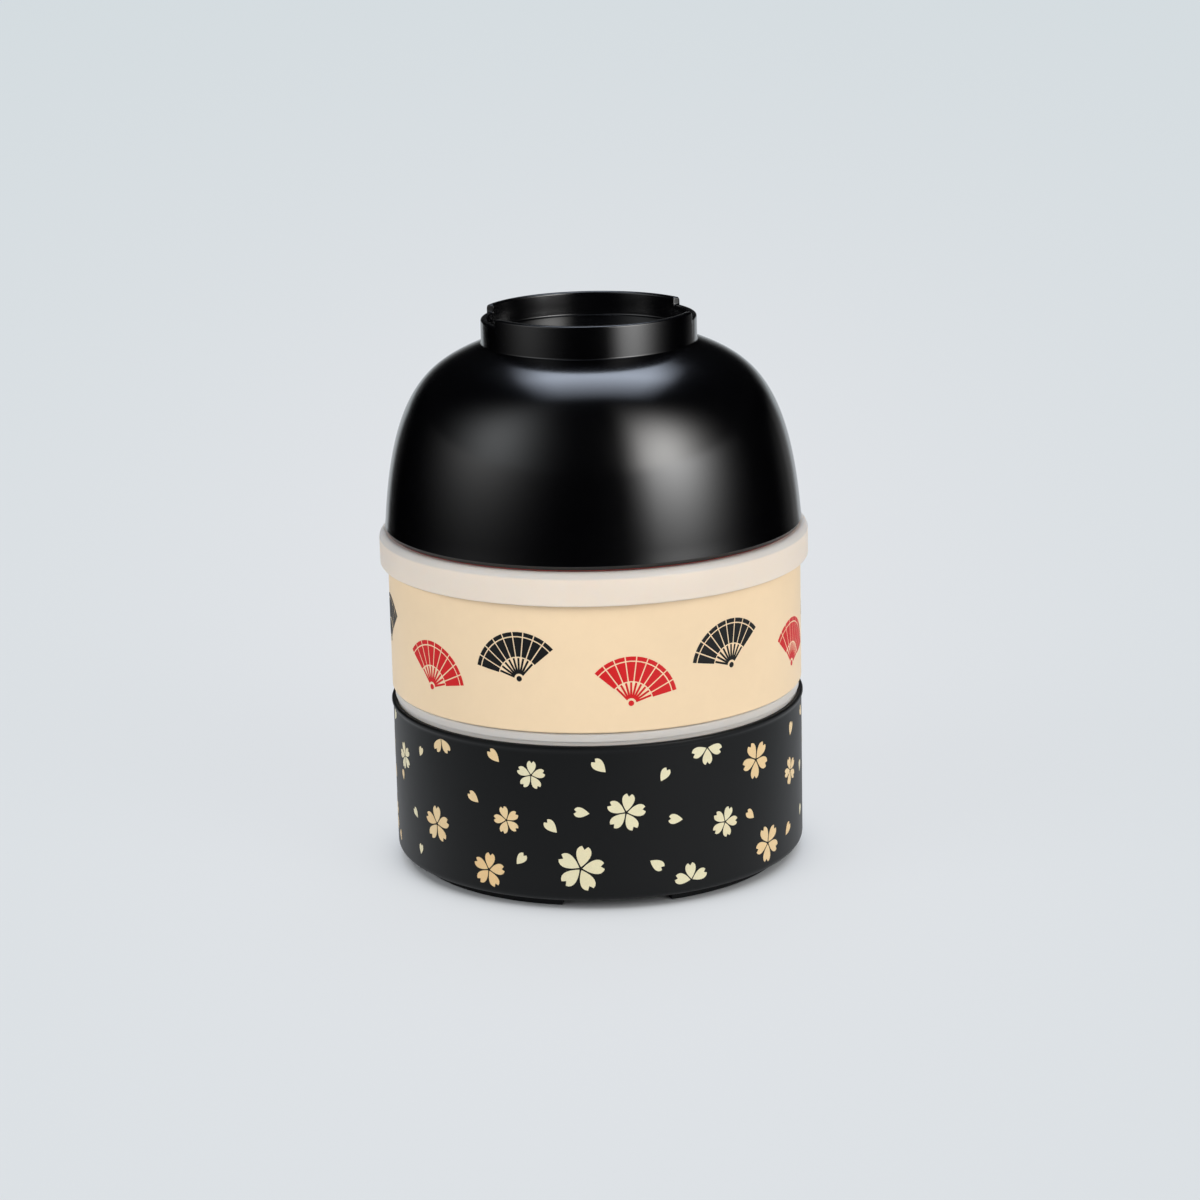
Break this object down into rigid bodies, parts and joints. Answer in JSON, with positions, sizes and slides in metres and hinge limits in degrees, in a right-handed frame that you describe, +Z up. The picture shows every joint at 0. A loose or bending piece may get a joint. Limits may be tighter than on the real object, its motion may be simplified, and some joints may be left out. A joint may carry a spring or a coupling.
{
  "type": "bento box",
  "caption": "Round stacking lunch box: two containers with soft plug and press-on lids, a loose food divider, and an upturned soup bowl as the cover.",
  "frame": {"origin": "middle of the underside of the lower container's foot ring, on the axis of the stack", "axes": "+Z up along the stack's axis, -Y towards the side that the picture shows, +X to the right of that side"},
  "size_m": [0.116, 0.116, 0.1504],
  "materials": {
    "black_satin": "satin black coat on a moulded plastic body, with gold blossom print",
    "milky_lid": "soft milky translucent plastic",
    "cream_satin": "satin cream coat on a moulded plastic body, with a printed frieze",
    "cream_moulding": "uncoated cream moulded plastic",
    "black_lacquer": "semi-gloss black coat outside, red coat inside"
  },
  "bodies": {
    "lower_container": {"lower_container": "black_satin"},
    "lower_seal_lid": {"lower_seal_lid": "milky_lid"},
    "upper_container": {"upper_container": "cream_satin"},
    "food_divider": {"food_divider": "cream_moulding"},
    "upper_seal_lid": {"upper_seal_lid": "milky_lid"},
    "soup_bowl": {"soup_bowl": "black_lacquer"}
  },
  "joints": [
    {"name": "lower_lid_lift", "type": "slide", "parent": "lower_container", "child": "lower_seal_lid", "axis": [0, 0, 1], "range_m": [0, 0.03]},
    {"name": "upper_container_lift", "type": "slide", "parent": "lower_seal_lid", "child": "upper_container", "axis": [0, 0, 1], "range_m": [0, 0.03]},
    {"name": "divider_lift", "type": "slide", "parent": "upper_container", "child": "food_divider", "axis": [0, 0, 1], "range_m": [0, 0.05]},
    {"name": "upper_lid_lift", "type": "slide", "parent": "food_divider", "child": "upper_seal_lid", "axis": [0, 0, 1], "range_m": [0, 0.03]},
    {"name": "bowl_lift", "type": "slide", "parent": "upper_seal_lid", "child": "soup_bowl", "axis": [0, 0, 1], "range_m": [0, 0.08]}
  ]
}
